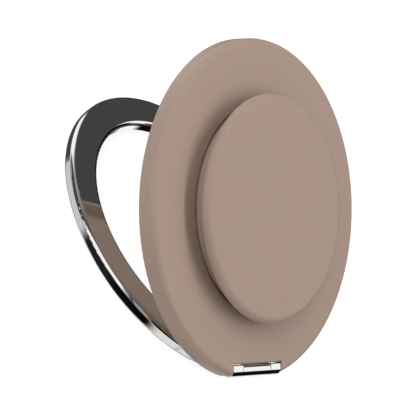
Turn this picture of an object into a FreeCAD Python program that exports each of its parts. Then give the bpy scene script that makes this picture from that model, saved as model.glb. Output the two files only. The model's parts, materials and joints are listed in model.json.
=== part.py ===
import FreeCAD, Part
import os
import Sketcher

# A magnetic phone grip and stand. A polished ring lies flat with its phone side on z = 0 and its centre at
# the origin. A round disc is hinged to the ring's edge at -Y and stands open over it, and a round grip top
# pulls out of the disc's face on a folding neck.
# Every piece is drawn with the disc closed flat on the ring, and the disc's pieces are then swung open.

doc = FreeCAD.newDocument("phone_grip_stand")
dims = doc.addObject("Spreadsheet::Sheet", "dims")

# Driving dimensions, in millimetres and degrees
SIZES = {
    # ring
    "ring_outer_radius": 27.9,
    "ring_width": 5.9,
    "ring_height": 2.4,
    "ring_outer_edge": 0.75,
    "ring_inner_edge": 0.75,
    "ring_outer_back_edge": 0.5,
    "ring_inner_back_edge": 0.2,
    "ring_plate": 0.8,
    "channel_inner_wall": 1.0,
    "channel_outer_wall": 0.7,
    "hinge_block_angle": 60.0,
    "pad_thickness": 0.6,
    "pad_proud": 0.15,
    "shunt_thickness": 0.3,
    "magnet_count": 16,
    "magnet_spacing": 0.3,
    "seat_gap": 0.05,
    # hinge
    "hinge_outset": 0.05,
    "knuckle_radius": 1.17,
    "ring_knuckle": 8.0,
    "disc_knuckle": 2.8,
    "knuckle_gap": 0.12,
    "knuckle_top": 1.0,
    "knuckle_top_edge": 0.3,
    "ring_setback": 3.05,
    "pin_radius": 0.6,
    "pin_clearance": 0.02,
    "pin_inset": 0.1,
    "pin_chamfer": 0.15,
    "sleeve_wall": 0.25,
    "sleeve_slot": 0.4,
    "bracket_thickness": 0.35,
    "stake_radius": 0.75,
    "stake_spacing": 8.4,
    "stake_setback": 4.0,
    "open_angle": 29.9,
    # disc
    "recess_gap": 0.25,
    "cover_thickness": 1.05,
    "rim_gap": 0.9,
    "rim_wall": 0.9,
    "rim_depth": 3.2,
    "rim_front_edge": 1.1,
    "rim_back_edge": 0.2,
    "notch_side_gap": 0.14,
    "notch_gap": 0.18,
    "notch_lip": 0.25,
    "notch_lip_depth": 0.4,
    "well_edge": 0.3,
    "spigot_wall": 1.0,
    "foot_ledge": 1.15,
    "cap_gap": 0.6,
    "cap_back_height": 0.6,
    "cap_thickness": 0.9,
    "cap_wall": 1.0,
    "cap_edge": 0.4,
    # folding neck and grip
    "neck_tiers": 3,
    "neck_wall": 0.55,
    "neck_lean": 0.4,
    "neck_side_gap": 0.2,
    "neck_floor_gap": 0.6,
    "neck_end_gap": 0.1,
    "hub_radius": 10.6,
    "hub_wall": 1.2,
    "hub_flange": 1.3,
    "hub_flange_thickness": 0.5,
    "hub_floor_gap": 0.5,
    "grip_gap": 2.45,
    "top_radius": 19.95,
    "top_thickness": 1.4,
    "top_edge": 1.2,
    "top_under_edge": 0.15,
}
for row, (alias, size) in enumerate(SIZES.items(), start=1):
    dims.set(f"A{row}", alias)
    dims.set(f"B{row}", str(size))
    dims.setAlias(f"B{row}", alias)
doc.recompute()

# Two edges closer than this are the same edge
SAME_PLACE = 1e-4

# Places that several pieces share
RING_INSIDE = "(dims.ring_outer_radius - dims.ring_width)"
CHANNEL_IN = f"({RING_INSIDE} + dims.channel_inner_wall)"
CHANNEL_OUT = "(dims.ring_outer_radius - dims.channel_outer_wall)"
CHANNEL_TOP = "(dims.ring_height - dims.ring_plate)"
CHANNEL_SWEEP = "(360 - dims.hinge_block_angle)"
MAGNET_TOP = f"({CHANNEL_TOP} - dims.shunt_thickness)"
# The hinge axis lies in the plane of the ring's face
HINGE_HEIGHT = "dims.ring_height"
HINGE_REACH = "(dims.ring_outer_radius + dims.hinge_outset)"
RING_FLAT = f"({HINGE_REACH} - dims.ring_setback)"
STAKE_REACH = f"({HINGE_REACH} - dims.stake_setback)"
NOTCH_REACH = f"({HINGE_REACH} - dims.knuckle_radius - dims.notch_gap)"
LIP_REACH = f"({NOTCH_REACH} + dims.notch_lip)"
KNUCKLE_BOTTOM = f"({HINGE_HEIGHT} - dims.knuckle_radius)"
KNUCKLE_FRONT = f"({HINGE_HEIGHT} + dims.knuckle_radius)"
KNUCKLE_HEAD = f"({HINGE_REACH} - dims.knuckle_top)"
KNUCKLE_SPACE = "(dims.ring_knuckle + 2 * dims.knuckle_gap)"
HINGE_WIDTH = f"({KNUCKLE_SPACE} + 2 * dims.disc_knuckle)"
RECESS_FLOOR = "(dims.ring_height + dims.recess_gap)"
FACE = f"({RECESS_FLOOR} + dims.cover_thickness)"
RIM_INSIDE = "(dims.ring_outer_radius + dims.rim_gap)"
DISC_RADIUS = f"({RIM_INSIDE} + dims.rim_wall)"
RIM_BACK = f"({FACE} - dims.rim_depth)"
CAP_RADIUS = f"({RING_INSIDE} - dims.cap_gap)"
CAP_FLOOR = "(dims.cap_back_height + dims.cap_thickness)"
SPIGOT_OUT = f"({CAP_RADIUS} - dims.cap_wall - dims.seat_gap)"
SPIGOT_IN = f"({SPIGOT_OUT} - dims.spigot_wall)"
WELL_RADIUS = f"({SPIGOT_IN} - dims.foot_ledge)"
TONGUE_REACH = f"({SPIGOT_OUT} + 3 * dims.seat_gap)"
TOP_UNDERSIDE = f"({FACE} + dims.grip_gap)"
HUB_FLANGE_UNDERSIDE = f"({TOP_UNDERSIDE} - dims.hub_flange_thickness)"


def value(expression):
    """The number that an expression on the sheet stands for."""
    return float(dims.evalExpression(expression))


def new_body(label):
    body = doc.addObject("PartDesign::Body", label)
    body.Label = label
    return body


def sketch_on(body, role, name, height=None):
    """An empty sketch on one of the body's own planes, raised along that plane's normal."""
    plane = next(item for item in body.Origin.OriginFeatures if item.Role == role)
    sketch = body.newObject("Sketcher::SketchObject", name)
    sketch.AttachmentSupport = [(plane, "")]
    sketch.MapMode = "FlatFace"
    if height:
        sketch.setExpression("AttachmentOffset.Base.z", height)
    return sketch


def tie_point(sketch, geometry, position, x, y):
    """Ties a point of the sketch to two expressions, or to an axis where one of them is 0."""
    for kind, axis, expression in (("DistanceX", -2, x), ("DistanceY", -1, y)):
        if expression == "0":
            sketch.addConstraint(Sketcher.Constraint("PointOnObject", geometry, position, axis))
        else:
            tie = Sketcher.Constraint(kind, -1, 1, geometry, position, value(expression))
            index = sketch.addConstraint(tie)
            sketch.setExpression(f"Constraints[{index}]", expression)


def draw_outline(sketch, corners):
    """A closed outline of straight lines through corners given as pairs of expressions."""
    points = [FreeCAD.Vector(value(x), value(y)) for x, y in corners]
    first = sketch.GeometryCount
    count = len(points)
    for index, point in enumerate(points):
        sketch.addGeometry(Part.LineSegment(point, points[(index + 1) % count]))
    for index in range(count):
        following = first + (index + 1) % count
        sketch.addConstraint(Sketcher.Constraint("Coincident", first + index, 2, following, 1))
    for index, (x, y) in enumerate(corners):
        tie_point(sketch, first + index, 1, x, y)


def draw_box(sketch, left, right, low, high):
    draw_outline(sketch, [(left, low), (right, low), (right, high), (left, high)])


def draw_circle(sketch, x, y, radius):
    centre = FreeCAD.Vector(value(x), value(y))
    index = sketch.addGeometry(Part.Circle(centre, FreeCAD.Vector(0, 0, 1), value(radius)))
    tie_point(sketch, index, 3, x, y)
    tie = sketch.addConstraint(Sketcher.Constraint("Radius", index, value(radius)))
    sketch.setExpression(f"Constraints[{tie}]", radius)


def draw_on_hinge_axis(body, name, radii):
    """A sketch across the hinge axis with one circle about that axis for each radius."""
    sketch = sketch_on(body, "YZ_Plane", name)
    for radius in radii:
        draw_circle(sketch, f"-{HINGE_REACH}", HINGE_HEIGHT, radius)
    return sketch


def turn(body, kind, name, sketch, sweep=None):
    """A Revolution or Groove about Z, whole or centred on the +Y side."""
    item = body.newObject("PartDesign::" + kind, name)
    item.Profile = sketch
    item.ReferenceAxis = (sketch, ["V_Axis"])
    if sweep:
        item.Midplane = True
        item.setExpression("Angle", sweep)
    doc.recompute()
    return item


def extrude(body, kind, name, sketch, length=None, symmetric=False, upward=None):
    """A Pad or Pocket of a given length, or a Pocket through the whole body both ways."""
    item = body.newObject("PartDesign::" + kind, name)
    item.Profile = sketch
    if symmetric:
        item.SideType = "Symmetric"
    if length:
        item.setExpression("Length", length)
    else:
        item.Type = "ThroughAll"
    if upward is not None:
        item.Reversed = upward if kind == "Pocket" else not upward
    doc.recompute()
    return item


def round_edges(body, name, base, radius, circles):
    """Rounds the base's edges that are circles about Z, given as pairs of radius and height."""
    wanted = [FreeCAD.Vector(value(r), 0, value(z)) for r, z in circles]
    edges = []
    for index, edge in enumerate(base.Shape.Edges, start=1):
        curve = edge.Curve
        if isinstance(curve, Part.Circle):
            place = FreeCAD.Vector(curve.Radius, 0, curve.Center.z)
            if any(place.isEqual(circle, SAME_PLACE) for circle in wanted):
                edges.append(f"Edge{index}")
    item = body.newObject("PartDesign::Fillet", name)
    item.Base = (base, edges)
    item.setExpression("Radius", radius)
    doc.recompute()
    return item


def round_hinge_edge(body, name, base, radius, reach, height):
    """Rounds the base's straight edge along X at a distance from the ring's axis and a height."""
    line = FreeCAD.Vector(0, -value(reach), value(height))
    edges = [f"Edge{index}" for index, edge in enumerate(base.Shape.Edges, start=1)
             if all(FreeCAD.Vector(0, v.Y, v.Z).isEqual(line, SAME_PLACE) for v in edge.Vertexes)]
    item = body.newObject("PartDesign::Fillet", name)
    item.Base = (base, edges)
    item.setExpression("Radius", radius)
    doc.recompute()
    return item


def turned_body(label, corners, sweep=None):
    """A body turned from a half section, and its first feature."""
    body = new_body(label)
    sketch = sketch_on(body, "YZ_Plane" if sweep else "XZ_Plane", label + "_section")
    draw_outline(sketch, corners)
    return body, turn(body, "Revolution", label + "_turned", sketch, sweep)


# Ring with its channel, hinge block and middle knuckle
def make_magnet_ring():
    back = "dims.pad_proud"
    body, solid = turned_body("magnet_ring", [
        (RING_INSIDE, back),
        ("dims.ring_outer_radius", back),
        ("dims.ring_outer_radius", "dims.ring_height"),
        (RING_INSIDE, "dims.ring_height"),
    ])
    solid = round_edges(body, "outer_edge", solid, "dims.ring_outer_edge",
                        [("dims.ring_outer_radius", "dims.ring_height")])
    solid = round_edges(body, "inner_edge", solid, "dims.ring_inner_edge",
                        [(RING_INSIDE, "dims.ring_height")])
    solid = round_edges(body, "outer_back_edge", solid, "dims.ring_outer_back_edge",
                        [("dims.ring_outer_radius", back)])
    round_edges(body, "inner_back_edge", solid, "dims.ring_inner_back_edge", [(RING_INSIDE, back)])

    flat = sketch_on(body, "XY_Plane", "setback_flat")
    draw_box(flat, "-dims.ring_outer_radius", "dims.ring_outer_radius",
             "-2 * dims.ring_outer_radius", f"-{RING_FLAT}")
    extrude(body, "Pocket", "setback", flat, symmetric=True)

    channel = sketch_on(body, "YZ_Plane", "channel_section")
    draw_box(channel, CHANNEL_IN, CHANNEL_OUT, "0", CHANNEL_TOP)
    turn(body, "Groove", "channel", channel, CHANNEL_SWEEP)

    neck = sketch_on(body, "YZ_Plane", "knuckle_neck_section")
    draw_box(neck, f"-{HINGE_REACH}", f"-{RING_FLAT}", KNUCKLE_BOTTOM, "dims.ring_height")
    extrude(body, "Pad", "knuckle_neck", neck, "dims.ring_knuckle", symmetric=True)
    barrel = draw_on_hinge_axis(body, "knuckle_circle", ["dims.knuckle_radius"])
    extrude(body, "Pad", "knuckle", barrel, "dims.ring_knuckle", symmetric=True)
    bore = draw_on_hinge_axis(body, "bore_circle",
                              ["dims.pin_radius + dims.pin_clearance + dims.sleeve_wall"])
    extrude(body, "Pocket", "sleeve_bore", bore, "dims.ring_knuckle", symmetric=True)
    return body


# Pieces that fill the ring's channel, from the phone upwards
def channel_section(low, high):
    near = f"{CHANNEL_IN} + dims.seat_gap"
    far = f"{CHANNEL_OUT} - dims.seat_gap"
    return [(near, low), (far, low), (far, high), (near, high)]


def make_channel_strip(label, low, high):
    """A flat strip that follows the channel from one end to the other."""
    end_gap = f"2 * dims.seat_gap / {CHANNEL_IN} * 180 / pi"
    body, _ = turned_body(label, channel_section(low, high), f"{CHANNEL_SWEEP} - {end_gap}")
    return body


def make_ring_magnets():
    """Arc magnets side by side along the channel, as separate solids."""
    pitch = f"({CHANNEL_SWEEP} / dims.magnet_count)"
    arc = f"{pitch} - dims.magnet_spacing / {CHANNEL_IN} * 180 / pi"
    body, magnet = turned_body("ring_magnets", channel_section("dims.pad_thickness", MAGNET_TOP), arc)
    row = body.newObject("PartDesign::PolarPattern", "magnet_row")
    row.Originals = [magnet]
    row.Axis = (magnet.Profile[0], ["V_Axis"])
    row.Mode = "Spacing"
    row.setExpression("Offset", pitch)
    row.setExpression("Occurrences", "dims.magnet_count")
    body.Tip = row
    first = (value("dims.magnet_count") - 1) / 2 * value(pitch)
    body.Placement = FreeCAD.Placement(FreeCAD.Vector(), FreeCAD.Rotation(FreeCAD.Vector(0, 0, 1), -first))
    return body


# Hinge: bracket with the outer knuckles, pin and the split sleeve that grips it
def make_hinge_bracket():
    body = new_body("hinge_bracket")
    half = f"{HINGE_WIDTH} / 2"
    plate = sketch_on(body, "XY_Plane", "leaf_outline", RECESS_FLOOR)
    draw_box(plate, f"-{half}", half, f"-{HINGE_REACH}", f"-{TONGUE_REACH}")
    extrude(body, "Pad", "leaf", plate, "dims.bracket_thickness", upward=True)
    barrel = draw_on_hinge_axis(body, "knuckle_circle", ["dims.knuckle_radius"])
    extrude(body, "Pad", "knuckle_backs", barrel, HINGE_WIDTH, symmetric=True)
    front = sketch_on(body, "YZ_Plane", "knuckle_front_section")
    draw_box(front, f"-{HINGE_REACH}", f"-{KNUCKLE_HEAD}", HINGE_HEIGHT, KNUCKLE_FRONT)
    fronts = extrude(body, "Pad", "knuckle_fronts", front, HINGE_WIDTH, symmetric=True)
    round_hinge_edge(body, "knuckle_top_edge", fronts, "dims.knuckle_top_edge", KNUCKLE_HEAD, KNUCKLE_FRONT)
    space = sketch_on(body, "YZ_Plane", "ring_knuckle_space")
    draw_box(space, f"-{HINGE_REACH} - 2 * dims.knuckle_radius", f"-{NOTCH_REACH}",
             f"{KNUCKLE_BOTTOM} - dims.notch_gap", f"{KNUCKLE_FRONT} + dims.notch_gap")
    extrude(body, "Pocket", "middle_gap", space, KNUCKLE_SPACE, symmetric=True)
    bore = draw_on_hinge_axis(body, "bore_circle", ["dims.pin_radius + dims.pin_clearance / 2"])
    extrude(body, "Pocket", "pin_bore", bore, HINGE_WIDTH, symmetric=True)
    holes = sketch_on(body, "XY_Plane", "stake_hole_circles")
    for side in ("-", ""):
        draw_circle(holes, f"{side}dims.stake_spacing / 2", f"-{STAKE_REACH}",
                    "dims.stake_radius + dims.seat_gap")
    extrude(body, "Pocket", "stake_holes", holes, symmetric=True)
    return body


def make_hinge_pin():
    body = new_body("hinge_pin")
    section = draw_on_hinge_axis(body, "pin_circle", ["dims.pin_radius"])
    rod = extrude(body, "Pad", "rod", section, f"{HINGE_WIDTH} - 2 * dims.pin_inset", symmetric=True)
    ends = body.newObject("PartDesign::Chamfer", "end_chamfers")
    rims = [f"Edge{index}" for index, edge in enumerate(rod.Shape.Edges, start=1)
            if isinstance(edge.Curve, Part.Circle)]
    ends.Base = (rod, rims)
    ends.setExpression("Size", "dims.pin_chamfer")
    return body


def make_friction_sleeve():
    body = new_body("friction_sleeve")
    inside = "dims.pin_radius + dims.pin_clearance"
    section = draw_on_hinge_axis(body, "sleeve_circles", [inside, f"{inside} + dims.sleeve_wall"])
    extrude(body, "Pad", "tube", section, "dims.ring_knuckle", symmetric=True)
    slot = sketch_on(body, "YZ_Plane", "slot_section")
    draw_box(slot, f"-{HINGE_REACH} - dims.sleeve_slot / 2", f"-{HINGE_REACH} + dims.sleeve_slot / 2",
             KNUCKLE_BOTTOM, HINGE_HEIGHT)
    extrude(body, "Pocket", "slot", slot, "2 * dims.ring_knuckle", symmetric=True)
    return body


# Disc: front cover and the cap that closes it from behind
def make_disc_cover():
    spigot_end = f"{CAP_FLOOR} + dims.seat_gap"
    body, solid = turned_body("disc_cover", [
        (WELL_RADIUS, RECESS_FLOOR),
        (WELL_RADIUS, FACE),
        (DISC_RADIUS, FACE),
        (DISC_RADIUS, RIM_BACK),
        (RIM_INSIDE, RIM_BACK),
        (RIM_INSIDE, RECESS_FLOOR),
        (SPIGOT_OUT, RECESS_FLOOR),
        (SPIGOT_OUT, spigot_end),
        (SPIGOT_IN, spigot_end),
        (SPIGOT_IN, RECESS_FLOOR),
    ])
    solid = round_edges(body, "front_edge", solid, "dims.rim_front_edge",
                        [(DISC_RADIUS, FACE)])
    solid = round_edges(body, "back_edge", solid, "dims.rim_back_edge",
                        [(DISC_RADIUS, RIM_BACK), (RIM_INSIDE, RIM_BACK)])
    round_edges(body, "well_rim", solid, "dims.well_edge", [(WELL_RADIUS, FACE)])

    notch = sketch_on(body, "XY_Plane", "notch_outline")
    notch_half = f"({HINGE_WIDTH} / 2 + dims.notch_side_gap)"
    draw_box(notch, f"-{notch_half}", notch_half, f"-2 * {DISC_RADIUS}", f"-{LIP_REACH}")
    extrude(body, "Pocket", "hinge_notch", notch, symmetric=True)
    step = sketch_on(body, "XY_Plane", "notch_step_outline", f"{FACE} - dims.notch_lip_depth")
    draw_box(step, f"-{notch_half}", notch_half, f"-2 * {DISC_RADIUS}", f"-{NOTCH_REACH}")
    extrude(body, "Pocket", "notch_step", step, "2 * dims.notch_lip_depth", upward=True)

    seat_depth = "dims.bracket_thickness + dims.seat_gap"
    seat_half = f"({HINGE_WIDTH} / 2 + dims.seat_gap)"
    seat = sketch_on(body, "XY_Plane", "bracket_seat_outline", RECESS_FLOOR)
    draw_box(seat, f"-{seat_half}", seat_half, f"-{HINGE_REACH}", f"dims.seat_gap - {TONGUE_REACH}")
    extrude(body, "Pocket", "bracket_seat", seat, seat_depth, upward=True)
    stakes = sketch_on(body, "XY_Plane", "stake_circles", RECESS_FLOOR)
    for side in ("-", ""):
        draw_circle(stakes, f"{side}dims.stake_spacing / 2", f"-{STAKE_REACH}", "dims.stake_radius")
    extrude(body, "Pad", "stakes", stakes, seat_depth, upward=True)
    return body


def make_back_cap():
    wall_inside = f"({CAP_RADIUS} - dims.cap_wall)"
    body, solid = turned_body("back_cap", [
        ("0", "dims.cap_back_height"),
        (CAP_RADIUS, "dims.cap_back_height"),
        (CAP_RADIUS, RECESS_FLOOR),
        (wall_inside, RECESS_FLOOR),
        (wall_inside, CAP_FLOOR),
        ("0", CAP_FLOOR),
    ])
    round_edges(body, "cap_rim", solid, "dims.cap_edge", [(CAP_RADIUS, "dims.cap_back_height")])
    return body


# Folding neck: one soft wall, pleated into rings that nest inside the well
def make_folding_neck():
    wall = value("dims.neck_wall")
    lean = value("dims.neck_lean")
    tiers = int(value("dims.neck_tiers"))
    floor = value(CAP_FLOOR)
    trough = floor + value("dims.neck_floor_gap")
    crest = value(f"{HUB_FLANGE_UNDERSIDE} - dims.neck_end_gap")
    outer = value(f"{WELL_RADIUS} - dims.neck_side_gap - dims.neck_wall / 2")
    inner = value("dims.hub_radius + dims.neck_side_gap + dims.neck_wall / 2")
    step = (outer - inner - tiers * lean) / (tiers - 1)

    def wall_face(corners):
        points = [FreeCAD.Vector(r, 0, z) for r, z in corners]
        return Part.Face(Part.makePolygon(points + points[:1]))

    def slanted_wall(foot, head):
        (r0, z0), (r1, z1) = foot, head
        half = wall / 2
        return wall_face([(r0 - half, z0), (r0 + half, z0), (r1 + half, z1), (r1 - half, z1)])

    foot_outside = value(f"{SPIGOT_IN} - dims.seat_gap")
    ceiling = value(RECESS_FLOOR)
    faces = [wall_face([(outer - wall / 2, floor), (foot_outside, floor),
                        (foot_outside, ceiling), (outer - wall / 2, ceiling)])]
    low = (outer, floor)
    for tier in range(tiers):
        high = (low[0] - lean, crest)
        faces.append(slanted_wall(low, high))
        if tier < tiers - 1:
            low = (high[0] - step, trough)
            faces.append(slanted_wall(low, high))
    section = faces[0].multiFuse(faces[1:]).removeSplitter()
    neck = doc.addObject("Part::Feature", "folding_neck")
    neck.Label = "folding_neck"
    neck.Shape = section.Faces[0].revolve(FreeCAD.Vector(), FreeCAD.Vector(0, 0, 1), 360)
    return neck


# Grip: the plug that the neck holds and the round top
def make_grip_hub():
    cavity = "dims.hub_radius - dims.hub_wall"
    bottom = f"{CAP_FLOOR} + dims.hub_floor_gap"
    roof = f"{TOP_UNDERSIDE} - dims.hub_wall"
    flange = "dims.hub_radius + dims.hub_flange"
    body, _ = turned_body("grip_hub", [
        ("0", TOP_UNDERSIDE),
        (flange, TOP_UNDERSIDE),
        (flange, HUB_FLANGE_UNDERSIDE),
        ("dims.hub_radius", HUB_FLANGE_UNDERSIDE),
        ("dims.hub_radius", bottom),
        (cavity, bottom),
        (cavity, roof),
        ("0", roof),
    ])
    return body


def make_grip_top():
    face = f"{TOP_UNDERSIDE} + dims.top_thickness"
    body, solid = turned_body("grip_top", [
        ("0", TOP_UNDERSIDE),
        ("dims.top_radius", TOP_UNDERSIDE),
        ("dims.top_radius", face),
        ("0", face),
    ])
    solid = round_edges(body, "top_edge", solid, "dims.top_edge", [("dims.top_radius", face)])
    round_edges(body, "under_edge", solid, "dims.top_under_edge", [("dims.top_radius", TOP_UNDERSIDE)])
    return body


ring_parts = [
    make_magnet_ring(),
    make_channel_strip("phone_pad", "0", "dims.pad_thickness"),
    make_ring_magnets(),
    make_channel_strip("magnet_shunt", MAGNET_TOP, CHANNEL_TOP),
    make_friction_sleeve(),
]
swinging_parts = [
    make_hinge_bracket(),
    make_hinge_pin(),
    make_disc_cover(),
    make_back_cap(),
    make_folding_neck(),
    make_grip_hub(),
    make_grip_top(),
]

# Swing the disc and the grip open about the hinge pin
hinge_point = FreeCAD.Vector(0, -value(HINGE_REACH), value(HINGE_HEIGHT))
swing = FreeCAD.Rotation(FreeCAD.Vector(1, 0, 0), dims.open_angle)
for part in swinging_parts:
    part.Placement = FreeCAD.Placement(FreeCAD.Vector(), swing, hinge_point)
doc.recompute()

# Nothing is written unless every feature worked and every cut took material away
for item in doc.Objects:
    if "Invalid" in item.State or "Error" in item.State:
        raise RuntimeError(f"{item.Name} failed: {item.State}")
    if item.isDerivedFrom("PartDesign::Pocket") or item.isDerivedFrom("PartDesign::Groove"):
        if item.Shape.Volume >= item.BaseFeature.Shape.Volume:
            raise RuntimeError(f"{item.Name} cuts nothing")

os.makedirs("parts", exist_ok=True)
for part in ring_parts + swinging_parts:
    if part.Shape.isNull() or not part.Shape.isValid():
        raise RuntimeError(f"{part.Label} has no valid shape")
    part.Shape.exportStep(f"parts/{part.Label}.step")
    print(part.Label, len(part.Shape.Solids), "solids", round(part.Shape.Volume, 2), "mm3")
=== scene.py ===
# %% [markdown]
# # A magnetic phone grip and stand
# A satin plastic disc carries a round grip top that pulls out on a folding neck. A mirror-bright metal
# ring is hinged to the disc's lower edge and lies flat, because its magnets hold it to a phone.
# The solids come from the imported part and stay where they are. This lesson gives each surface its
# finish, models the soft neck as one piece for each wall, and sets up the light and the camera.

# %% Load the imported part
import json
import math

import bpy
from mathutils import Matrix, Quaternion, Vector


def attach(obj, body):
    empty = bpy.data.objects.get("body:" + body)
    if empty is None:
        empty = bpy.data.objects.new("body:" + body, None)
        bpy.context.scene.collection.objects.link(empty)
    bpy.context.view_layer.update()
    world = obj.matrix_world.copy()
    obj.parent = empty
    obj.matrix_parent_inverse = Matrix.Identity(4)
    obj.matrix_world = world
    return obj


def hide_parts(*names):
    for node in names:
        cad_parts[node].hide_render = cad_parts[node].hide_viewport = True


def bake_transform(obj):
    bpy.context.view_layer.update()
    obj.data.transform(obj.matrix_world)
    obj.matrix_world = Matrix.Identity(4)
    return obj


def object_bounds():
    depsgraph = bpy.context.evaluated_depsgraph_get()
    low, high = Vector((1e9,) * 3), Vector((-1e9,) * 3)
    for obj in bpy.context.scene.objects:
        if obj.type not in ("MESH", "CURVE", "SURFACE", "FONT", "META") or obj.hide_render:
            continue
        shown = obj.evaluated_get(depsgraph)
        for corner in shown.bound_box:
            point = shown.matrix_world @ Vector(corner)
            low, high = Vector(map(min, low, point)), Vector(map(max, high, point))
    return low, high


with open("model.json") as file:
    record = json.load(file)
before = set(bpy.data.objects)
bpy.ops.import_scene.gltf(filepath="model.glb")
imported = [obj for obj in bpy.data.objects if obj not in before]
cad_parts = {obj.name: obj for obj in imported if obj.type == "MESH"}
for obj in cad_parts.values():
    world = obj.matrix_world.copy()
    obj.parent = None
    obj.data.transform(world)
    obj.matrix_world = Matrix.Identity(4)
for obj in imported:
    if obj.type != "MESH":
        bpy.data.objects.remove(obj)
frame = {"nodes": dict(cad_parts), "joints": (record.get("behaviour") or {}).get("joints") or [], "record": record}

cad_low, cad_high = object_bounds()
bpy.ops.object.select_all(action="DESELECT")
nodes = frame["nodes"]
joints = {joint["name"]: joint for joint in frame["joints"]}
MM = 0.001
print("loaded", len(nodes), "pieces, size in mm:", [round(side / MM, 1) for side in cad_high - cad_low])

# %% [markdown]
# ## The camera
# The picture was taken with a long lens from the disc's left, and the camera was turned so that the
# disc looks upright while the ring leans back. Here the ring lies flat, so the same view is a camera
# that looks down on the part and is rolled. An aim point, two angles, a roll and a distance say that
# more plainly than a matrix would. Azimuth 0 points along +Y and 90 along +X, here and in the studio.


# %% Place the camera
def arrow(azimuth, elevation):
    """The direction, of length 1, at an azimuth and an elevation in degrees."""
    around, above = math.radians(azimuth), math.radians(elevation)
    level = math.cos(above)
    return Vector((math.sin(around) * level, math.cos(around) * level, math.sin(above)))


CAMERA_AIM = Vector((-5.41, -0.75, 11.28)) * MM
CAMERA_AZIMUTH, CAMERA_ELEVATION, CAMERA_ROLL = -111.355, 31.044, 54.416
CAMERA_DISTANCE = 410.4 * MM
CAMERA_LENS, SENSOR_WIDTH = 204.2, 36.0
NEAREST, FARTHEST = 10 * MM, 10.0

towards_camera = arrow(CAMERA_AZIMUTH, CAMERA_ELEVATION)
bpy.ops.object.camera_add(location=CAMERA_AIM + towards_camera * CAMERA_DISTANCE)
camera = bpy.context.object
camera.rotation_mode = "QUATERNION"
upright = (-towards_camera).to_track_quat("-Z", "Y")
camera.rotation_quaternion = Quaternion(towards_camera, math.radians(CAMERA_ROLL)) @ upright
camera.data.sensor_width = SENSOR_WIDTH
camera.data.lens = CAMERA_LENS
camera.data.clip_start = NEAREST
camera.data.clip_end = FARTHEST
bpy.context.scene.camera = camera
bpy.context.scene.view_settings.view_transform = "Standard"
print("camera at", [round(x / MM, 1) for x in camera.location], "mm")

# %% [markdown]
# ## Three small helpers
# Every finish below is a handful of shader nodes. One helper turns a written sRGB colour into the
# linear numbers that a shader wants, one adds a node with its settings and links in a single call, and
# one makes an empty material to put them in.


# %% Colour, node and material helpers
def linear(hex_colour):
    """An sRGB colour such as #a69284 as linear red, green, blue and alpha."""
    channels = [int(hex_colour[i:i + 2], 16) / 255 for i in (1, 3, 5)]
    curve = [c / 12.92 if c <= 0.04045 else ((c + 0.055) / 1.055) ** 2.4 for c in channels]
    return (*curve, 1.0)


def add_node(tree, kind, inputs=None, **settings):
    """A node with its settings, whose inputs are plain values or another node's output."""
    node = tree.nodes.new(kind)
    for name, value in settings.items():
        setattr(node, name, value)
    for socket, source in (inputs or {}).items():
        if isinstance(source, bpy.types.NodeSocket):
            tree.links.new(source, node.inputs[socket])
        else:
            node.inputs[socket].default_value = source
    return node


def empty_material(name):
    """A new material without any nodes."""
    material = bpy.data.materials.new(name)
    material.use_nodes = True
    material.node_tree.nodes.clear()
    return material


pure_white = linear("#ffffff")
print("a half-bright sRGB grey is", round(linear("#808080")[0], 3), "in linear light")

# %% [markdown]
# ## The studio
# A chrome surface has no colour of its own: it shows the room. So the room is part of the finish. It
# could be built from glowing planes, but the world can be painted with the same panels, and then they
# stand in nobody's way. The room has dark walls and a few white, grey and black panels, each given by a
# range of azimuth, a range of elevation, the softness of its edges in degrees and its tone.

# %% Tones and panels
WHITE = 1.0
LIGHT = linear("#e4e2e1")[0]
PALE = linear("#cfcbc9")[0]
GREY = linear("#9c9a99")[0]
DARK = linear("#434344")[0]
SOOT = linear("#222222")[0]
BLACK = 0.004

# A later panel covers an earlier one
STUDIO_PANELS = (
    # behind the camera: a low pale wall, a black gap and a tall white panel beside a grey one
    ((-181, -148), (-90, -6), 5, LIGHT),
    ((162, 181), (-90, -6), 5, LIGHT),
    ((-154, -100), (-90, -26), 8, BLACK),
    ((-146, -74), (-90, -14), 4, BLACK),
    ((-108, -74), (-90, -22), 8, SOOT),
    ((-171, -144), (-4, 46), 4, BLACK),
    ((-146, -120), (-4, 52), 5, GREY),
    ((-130, -125), (0, 52), 2, DARK),
    ((-119, -70), (-8, 62), 6, WHITE),
    # to the left of the disc: a pale wall with a white window and a dark post
    ((-67, -6), (-90, -26), 7, PALE),
    ((-58, -6), (-90, -27), 1.5, PALE),
    ((-44, -8), (-28, 2), 6, GREY),
    ((-44, 34), (34, 62), 7, GREY),
    ((-31, -17), (18, 38), 4, DARK),
    ((-12, 25), (-22, 40), 4, WHITE),
    # in front of the disc: a large white panel
    ((79, 150), (-14, 80), 1, WHITE),
)
# A round black flag stands in front of the large panel, with a black and a white panel before it
FLAG_AZIMUTH, FLAG_ELEVATION, FLAG_RADIUS, FLAG_SOFTNESS = 86, -9, 39.5, 1.5
LOW_PANELS = (
    ((114, 160), (-60, 19), 3, BLACK),
    ((80, 112), (-60, -22), 6, WHITE),
)
print(len(STUDIO_PANELS) + len(LOW_PANELS), "panels and a flag in tones from", BLACK, "to", WHITE)

# %% [markdown]
# A world shader gets the direction of each ray as an arrow. Panels are easier to think of in angles, so
# the arrow is first turned back into azimuth and elevation.

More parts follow.
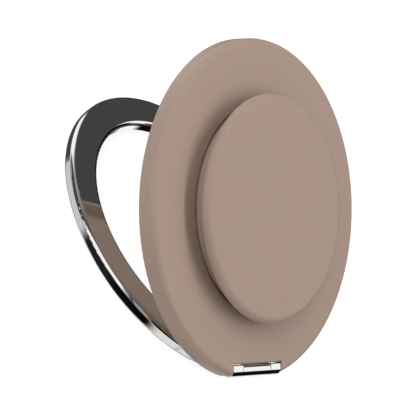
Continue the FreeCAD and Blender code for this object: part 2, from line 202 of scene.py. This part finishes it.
# %% The direction of a ray
world = bpy.context.scene.world or bpy.data.worlds.new("studio")
bpy.context.scene.world = world
world.use_nodes = True
studio = world.node_tree
studio.nodes.clear()
ray = add_node(studio, "ShaderNodeTexCoord").outputs["Generated"]
axes = add_node(studio, "ShaderNodeSeparateXYZ", {0: ray}).outputs
ray_azimuth = add_node(studio, "ShaderNodeMath", {0: axes["X"], 1: axes["Y"]}, operation="ARCTAN2").outputs[0]
ray_elevation = add_node(studio, "ShaderNodeMath", {0: axes["Z"]}, operation="ARCSINE").outputs[0]
print("a ray's direction takes", len(studio.nodes), "nodes")

# %% [markdown]
# A panel is where azimuth and elevation both lie in its range. Its edges are soft, because buffed chrome
# is a little hazy, and it is laid over what is behind it. The round flag is where a ray comes close to
# the flag's own direction.


# %% Panels and flag in the world
def inside_range(angle, limits, softness):
    """A factor that rises from 0 to 1 at the lower limit and falls again at the upper one."""
    low, high = (math.radians(limit) for limit in limits)
    soft = math.radians(softness)
    rise = add_node(studio, "ShaderNodeMapRange", {0: angle, 1: low - soft, 2: low + soft},
                    interpolation_type="SMOOTHSTEP")
    fall = add_node(studio, "ShaderNodeMapRange", {0: angle, 1: high + soft, 2: high - soft},
                    interpolation_type="SMOOTHSTEP")
    return add_node(studio, "ShaderNodeMath", {0: rise.outputs[0], 1: fall.outputs[0]},
                    operation="MULTIPLY").outputs[0]


def lay_panels(room, panels):
    """The room's brightness with panels laid over it, one after the other."""
    for across, upward, softness, tone in panels:
        cover = add_node(studio, "ShaderNodeMath", {
            0: inside_range(ray_azimuth, across, softness),
            1: inside_range(ray_elevation, upward, softness),
        }, operation="MULTIPLY")
        room = add_node(studio, "ShaderNodeMix", {0: cover.outputs[0], 2: room, 3: tone}).outputs[0]
    return room


room = lay_panels(DARK, STUDIO_PANELS)
to_flag = arrow(FLAG_AZIMUTH, FLAG_ELEVATION)
nearness = add_node(studio, "ShaderNodeVectorMath", {0: ray, 1: to_flag}, operation="DOT_PRODUCT")
flag = add_node(studio, "ShaderNodeMapRange", {
    0: nearness.outputs["Value"],
    1: math.cos(math.radians(FLAG_RADIUS + FLAG_SOFTNESS)),
    2: math.cos(math.radians(FLAG_RADIUS - FLAG_SOFTNESS)),
}, interpolation_type="SMOOTHSTEP")
room = add_node(studio, "ShaderNodeMix", {0: flag.outputs[0], 2: room, 3: BLACK}).outputs[0]
room = lay_panels(room, LOW_PANELS)
print("the painted room takes", len(studio.nodes), "nodes")

# %% [markdown]
# Each kind of ray gets its own world. Mirror rays see the painted room, diffuse rays see plain soft light
# that fills the shadows on the plastic, and the camera sees a white background.

# %% What each ray sees
AMBIENT = 0.31

light_path = add_node(studio, "ShaderNodeLightPath").outputs
plain_room = add_node(studio, "ShaderNodeBackground", {"Color": pure_white, "Strength": AMBIENT})
mirror_room = add_node(studio, "ShaderNodeBackground", {"Color": room, "Strength": WHITE})
backdrop = add_node(studio, "ShaderNodeBackground", {"Color": pure_white, "Strength": WHITE})
lit_room = add_node(studio, "ShaderNodeMixShader", {
    0: light_path["Is Glossy Ray"], 1: plain_room.outputs[0], 2: mirror_room.outputs[0],
})
seen_room = add_node(studio, "ShaderNodeMixShader", {
    0: light_path["Is Camera Ray"], 1: lit_room.outputs[0], 2: backdrop.outputs[0],
})
add_node(studio, "ShaderNodeOutputWorld", {"Surface": seen_room.outputs[0]})
print("soft light of", AMBIENT, "from all round")

# %% [markdown]
# ## The floor
# The floor is a pale sheet on a light table. It glows from below, so the back of the disc is lit too,
# and it still takes a faint shadow from the light above. The camera sees it whiter than the light that it
# gives. Mirror rays pass it by, because the chrome is to show the studio and not the sheet below it.

# %% Floor
FLOOR_SIZE = 6.0
FLOOR_GLOW = 0.62
FLOOR_SEEN = 0.89

bpy.ops.mesh.primitive_plane_add(size=FLOOR_SIZE, location=(0, 0, cad_low.z))
floor = bpy.context.object
floor.name = "floor"
floor.visible_glossy = False
paper = empty_material("pale_paper_sheet")
tree = paper.node_tree
matt = add_node(tree, "ShaderNodeBsdfDiffuse", {"Color": linear("#7c7c7c")})
seen = add_node(tree, "ShaderNodeLightPath").outputs["Is Camera Ray"]
strength = add_node(tree, "ShaderNodeMapRange", {0: seen, 3: FLOOR_GLOW, 4: FLOOR_SEEN})
glow = add_node(tree, "ShaderNodeEmission", {"Color": pure_white, "Strength": strength.outputs[0]})
sheet = add_node(tree, "ShaderNodeAddShader", {0: matt.outputs[0], 1: glow.outputs[0]})
add_node(tree, "ShaderNodeOutputMaterial", {"Surface": sheet.outputs[0]})
floor.data.materials.append(paper)
print("floor of", FLOOR_SIZE, "m, giving", FLOOR_GLOW, "and seen as", FLOOR_SEEN)

# %% [markdown]
# ## A card under the hinge
# The end of the hinge's left knuckle looks down past the floor into a black part of the studio, and a
# black dot at the disc's edge would look like dirt. A photographer slips a small card under such a spot.
# Only mirror rays see this one, so it lights nothing and throws no shadow.

# %% Card
CARD_SIZE = 6 * MM

hinge = joints["ring_hinge"]
hinge_point = Vector(hinge["pos_m"])
knuckle_end = min(corner[0] for corner in nodes["hinge_bracket"].bound_box)
card_place = (knuckle_end - CARD_SIZE / 2, hinge_point.y, cad_low.z)
bpy.ops.mesh.primitive_plane_add(size=CARD_SIZE, location=card_place)
card = bpy.context.object
card.name = "hinge_card"
card.visible_camera = False
card.visible_diffuse = False
card.visible_shadow = False
card_paint = empty_material("white_reflector_card")
tree = card_paint.node_tree
shine = add_node(tree, "ShaderNodeEmission", {"Color": pure_white, "Strength": PALE})
add_node(tree, "ShaderNodeOutputMaterial", {"Surface": shine.outputs[0]})
card.data.materials.append(card_paint)
print("card at", [round(x / MM, 2) for x in card.location], "mm")

# %% [markdown]
# ## The lamps
# Four lamps shape the disc. A strip lamp stands in front of it and a little to the right. It is narrow
# across and tall, so the grip top throws a shadow with a clear edge to its left, and a soft one above and
# below. A large soft lamp at the upper left lights the rim and shades the face to the right of the grip
# top. Another one stands above, and a weak one behind the disc's top brightens the upper rim.
# An area lamp of P watts gives a face turned to it P / (pi * pi * distance * distance) of the light under
# which a colour renders as written, so each lamp is given by that share.

# %% Lamps
LAMP_DISTANCE = 0.7
# Share of the light, turn to the disc's right and rise in degrees, width and height in metres
LAMPS = {
    "strip_lamp": (0.68, 25, 0, 0.10, 1.1),
    "upper_left_lamp": (0.48, -67, 28, 0.5, 0.5),
    "top_lamp": (0.24, 0, 60, 0.6, 0.5),
    "rim_lamp": (0.23, 110, 68, 0.3, 0.3),
}

hinge_axis = Vector(hinge["axis"]).normalized()
disc_normal = Vector(joints["grip_slide"]["axis"]).normalized()
disc_up = disc_normal.cross(hinge_axis)

for name, (share, turn_degrees, rise_degrees, width, height) in LAMPS.items():
    turn, rise = math.radians(turn_degrees), math.radians(rise_degrees)
    ahead = disc_normal * math.cos(turn) + hinge_axis * math.sin(turn)
    to_lamp = ahead * math.cos(rise) + disc_up * math.sin(rise)
    bpy.ops.object.light_add(type="AREA", location=to_lamp * LAMP_DISTANCE)
    lamp = bpy.context.object
    lamp.name = name
    lamp.data.shape = "RECTANGLE"
    lamp.data.size = width
    lamp.data.size_y = height
    lamp.data.energy = share * math.pi ** 2 * LAMP_DISTANCE ** 2
    lamp.visible_glossy = False
    lamp.rotation_mode = "QUATERNION"
    lamp_across = disc_up.cross(to_lamp).normalized()
    lamp_up = to_lamp.cross(lamp_across)
    lamp.rotation_quaternion = Matrix((lamp_across, lamp_up, to_lamp)).transposed().to_quaternion()
    print(name, "of", round(lamp.data.energy, 2), "W")

# %% [markdown]
# ## Satin polycarbonate and soft mouldings
# The disc, its back cap, the hub and the grip top are moulded polycarbonate in a warm taupe. The mould
# was spark-eroded, which leaves a fine even grain: it scatters the reflections into a soft sheen. The
# grain of about 0.1 mm is too fine to show at this size, so it is drawn a little coarser and very low.
# A slow change of tone and of roughness keeps the large faces from looking like a flat fill.
# The soft pieces are grained mouldings too, so one recipe with other numbers makes them all.

# %% Recipe for a moulded surface
# Most of a noise texture's values lie between these two
NOISE_LOW, NOISE_HIGH = 0.3, 0.7
# Polycarbonate's, and near enough for the soft mouldings
MOULDED_IOR = 1.58


def grained_material(name, colours, roughness, grain_mm, grain_height_mm, tone_mm):
    """A moulded surface: two close tones that drift, and a fine grain that lifts the surface."""
    material = empty_material(name)
    tree = material.node_tree
    place = add_node(tree, "ShaderNodeTexCoord").outputs["Object"]
    drift = add_node(tree, "ShaderNodeTexNoise",
                     {"Vector": place, "Scale": 1 / (tone_mm * MM), "Detail": 3.0})
    tone = add_node(tree, "ShaderNodeMix", {
        0: drift.outputs["Fac"], 6: linear(colours[0]), 7: linear(colours[1]),
    }, data_type="RGBA")
    gloss = add_node(tree, "ShaderNodeMapRange", {
        0: drift.outputs["Fac"], 1: NOISE_LOW, 2: NOISE_HIGH, 3: roughness[0], 4: roughness[1],
    })
    grain = add_node(tree, "ShaderNodeTexNoise",
                     {"Vector": place, "Scale": 1 / (grain_mm * MM), "Detail": 2.0})
    relief = add_node(tree, "ShaderNodeBump", {
        "Height": grain.outputs["Fac"], "Distance": grain_height_mm * MM, "Strength": 1.0,
    })
    surface = add_node(tree, "ShaderNodeBsdfPrincipled", {
        "Base Color": tone.outputs[2],
        "Roughness": gloss.outputs[0],
        "Normal": relief.outputs[0],
        "IOR": MOULDED_IOR,
    })
    add_node(tree, "ShaderNodeOutputMaterial", {"Surface": surface.outputs[0]})
    return material


print("moulded surfaces have an IOR of", MOULDED_IOR)

# %% [markdown]
# The polycarbonate is the smoothest of the three. The neck is an elastomer of the same colour and the pad
# a darker silicone: both have a coarser grain and are more matt. Sizes of grain and tone are in millimetres.

# %% Moulded finishes
TAUPE = ("#a18b7d", "#a38d7f")
DARK_TAUPE = ("#7d6c60", "#817064")

satin_plastic = grained_material(
    "satin_polycarbonate_spark_eroded", TAUPE, (0.42, 0.50),
    grain_mm=0.25, grain_height_mm=0.004, tone_mm=9.0)
neck_elastomer = grained_material(
    "matt_elastomer_moulded", TAUPE, (0.62, 0.70),
    grain_mm=0.35, grain_height_mm=0.006, tone_mm=6.0)
pad_silicone = grained_material(
    "matt_silicone_pad", DARK_TAUPE, (0.66, 0.74),
    grain_mm=0.5, grain_height_mm=0.012, tone_mm=5.0)
print("moulded finishes:", satin_plastic.name, neck_elastomer.name, pad_silicone.name)

# %% [markdown]
# ## Bright chrome and plain steel
# The ring and the hinge leaf are zinc castings, buffed and plated with bright chromium. Such a surface
# is a mirror with a very slight haze from the buffing. The pin, the sleeve and the magnets are ground
# or nickel-plated steel, which is duller and shows fine lines along the grinding.


# %% Metal finishes
def metal_material(name, colour, roughness, haze_mm, stretch):
    """A bare or plated metal whose haze varies in streaks as long as stretch times their width."""
    material = empty_material(name)
    tree = material.node_tree
    place = add_node(tree, "ShaderNodeTexCoord").outputs["Object"]
    along = add_node(tree, "ShaderNodeMapping", {"Vector": place, "Scale": (1 / stretch, 1.0, 1.0)})
    haze = add_node(tree, "ShaderNodeTexNoise",
                    {"Vector": along.outputs[0], "Scale": 1 / (haze_mm * MM), "Detail": 4.0})
    gloss = add_node(tree, "ShaderNodeMapRange", {
        0: haze.outputs["Fac"], 1: NOISE_LOW, 2: NOISE_HIGH, 3: roughness[0], 4: roughness[1],
    })
    surface = add_node(tree, "ShaderNodeBsdfPrincipled", {
        "Base Color": linear(colour), "Metallic": 1.0, "Roughness": gloss.outputs[0],
    })
    add_node(tree, "ShaderNodeOutputMaterial", {"Surface": surface.outputs[0]})
    return material


bright_chrome = metal_material(
    "bright_chrome_on_cast_zinc", "#f3f2f1", (0.015, 0.035), haze_mm=3.0, stretch=1.0)
ground_steel = metal_material("ground_steel", "#b9b8b6", (0.22, 0.34), haze_mm=0.15, stretch=12.0)
nickel_plate = metal_material("nickel_plated_magnet", "#c9c3b8", (0.16, 0.28), haze_mm=0.8, stretch=1.0)
print("metal finishes:", bright_chrome.name, ground_steel.name, nickel_plate.name)

# %% [markdown]
# The record of the part says which slot each piece belongs to, so the finishes are handed out from that
# list. Only the material of a solid changes, never its shape or its place.

# %% Finishes on the pieces
FINISHES = {
    "polished_metal": bright_chrome,
    "satin_plastic": satin_plastic,
    "neck_rubber": neck_elastomer,
    "pad_rubber": pad_silicone,
    "magnet_plate": nickel_plate,
    "plain_steel": ground_steel,
}
for subpart in frame["record"]["subparts"]:
    piece = nodes[subpart["node"]]
    piece.data.materials.clear()
    piece.data.materials.append(FINISHES[subpart["material_slot"]])

# %% [markdown]
# ## The folding neck
# The neck is one soft moulding, pleated like a bellows so that it nests in the disc and draws out with
# the grip top. A single mesh can't follow that, because its pleats lie one inside the other. So each
# wall between two pleats is a piece of its own. Seen in section from the outside inwards, steep walls
# and slanted folds take turns between crests under the grip top and troughs in the disc.
# Sizes are in millimetres above the phone, with the disc closed on the ring.

# %% Neck sizes
NECK_FOOT = 1.5
TROUGH = 2.1
CREST = 5.55
FOOT_RADIUS = 17.725
WALL_LEAN = 0.4
FOLD_WIDTH = 2.725

pleats = [(FOOT_RADIUS, NECK_FOOT)]
for step, height in (
    (WALL_LEAN, CREST), (FOLD_WIDTH, TROUGH), (WALL_LEAN, CREST), (FOLD_WIDTH, TROUGH), (WALL_LEAN, CREST),
):
    pleats.append((pleats[-1][0] - step, height))
print("pleats as radius and height in mm:", [(round(radius, 3), height) for radius, height in pleats])

# %% [markdown]
# A wall starts as a circle that is extruded upwards ring by ring, each ring a little wider or narrower.
# Spinning a slanted line would give the same sheet, but it leaves a seam to be merged.

# %% A wall as a thin sheet
NECK_SIDES, WALL_RINGS = 180, 10


def extrude_wall(name, low, high):
    """A leaning round sheet between two circles given as radius and height in millimetres."""
    (low_radius, low_height), (high_radius, high_height) = low, high
    rise = (high_height - low_height) / WALL_RINGS
    bpy.ops.object.select_all(action="DESELECT")
    bpy.ops.mesh.primitive_circle_add(
        vertices=NECK_SIDES, radius=low_radius * MM, location=(0, 0, low_height * MM))
    wall = bpy.context.object
    wall.name = name
    bpy.ops.object.transform_apply(location=True)
    bpy.ops.object.mode_set(mode="EDIT")
    bpy.ops.mesh.select_all(action="SELECT")
    for ring in range(WALL_RINGS):
        here = low_radius + (high_radius - low_radius) * ring / WALL_RINGS
        there = low_radius + (high_radius - low_radius) * (ring + 1) / WALL_RINGS
        height = (low_height + rise * (ring + 1)) * MM
        bpy.ops.mesh.extrude_edges_move(TRANSFORM_OT_translate={"value": (0, 0, rise * MM)})
        bpy.ops.transform.resize(value=(there / here, there / here, 1), center_override=(0, 0, height))
    bpy.ops.mesh.select_all(action="SELECT")
    bpy.ops.mesh.normals_make_consistent(inside=False)
    bpy.ops.object.mode_set(mode="OBJECT")
    return wall


print("each wall has", NECK_SIDES * WALL_RINGS, "faces before it gets its thickness")

# %% [markdown]
# Solidify gives the sheet its thickness, and a bevel rounds the edges at the pleats. The wall is made
# upright around the Z axis, where it is easy to think about, and is then swung open with the disc.

# %% A wall with its thickness, finish and place
NECK_WALL = 0.55
ROUNDED_EDGE, EDGE_SEGMENTS, EDGE_ANGLE = 0.2, 3, 60
SMOOTH_ANGLE = 40

open_angle = math.radians(-hinge["range_deg"][0])
swing = (Matrix.Translation(hinge_point) @ Matrix.Rotation(open_angle, 4, "X")
         @ Matrix.Translation(-hinge_point))
print("the disc is open by", round(math.degrees(open_angle), 1), "degrees")


def make_neck_wall(name, low, high):
    """A wall of the neck with its thickness, its finish and its place in the open disc."""
    wall = extrude_wall(name, low, high)
    thickness = wall.modifiers.new("thickness", "SOLIDIFY")
    thickness.thickness = NECK_WALL * MM
    thickness.offset = 0.0
    bpy.ops.object.modifier_apply(modifier=thickness.name)
    edge = wall.modifiers.new("edge", "BEVEL")
    edge.width = ROUNDED_EDGE * MM
    edge.segments = EDGE_SEGMENTS
    edge.limit_method = "ANGLE"
    edge.angle_limit = math.radians(EDGE_ANGLE)
    bpy.ops.object.modifier_apply(modifier=edge.name)
    bpy.ops.object.shade_smooth_by_angle(angle=math.radians(SMOOTH_ANGLE))
    wall.matrix_world = swing
    bpy.ops.object.transform_apply(location=True, rotation=True)
    wall.data.materials.append(neck_elastomer)
    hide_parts("folding_neck")
    return wall


# %% [markdown]
# The outermost wall rides on the disc and the innermost on the grip. The walls between are baked in place
# where they stand with the disc open, and are not tied to either.


outer_wall = make_neck_wall("neck_outer_wall", pleats[0], pleats[1])
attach(outer_wall, "disc")
first_fold = make_neck_wall("neck_first_fold", pleats[2], pleats[1])
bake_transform(first_fold)
middle_wall = make_neck_wall("neck_middle_wall", pleats[2], pleats[3])
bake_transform(middle_wall)
second_fold = make_neck_wall("neck_second_fold", pleats[4], pleats[3])
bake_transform(second_fold)
inner_wall = make_neck_wall("neck_inner_wall", pleats[4], pleats[5])
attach(inner_wall, "grip")
print("neck of", len(pleats) - 1, "walls")
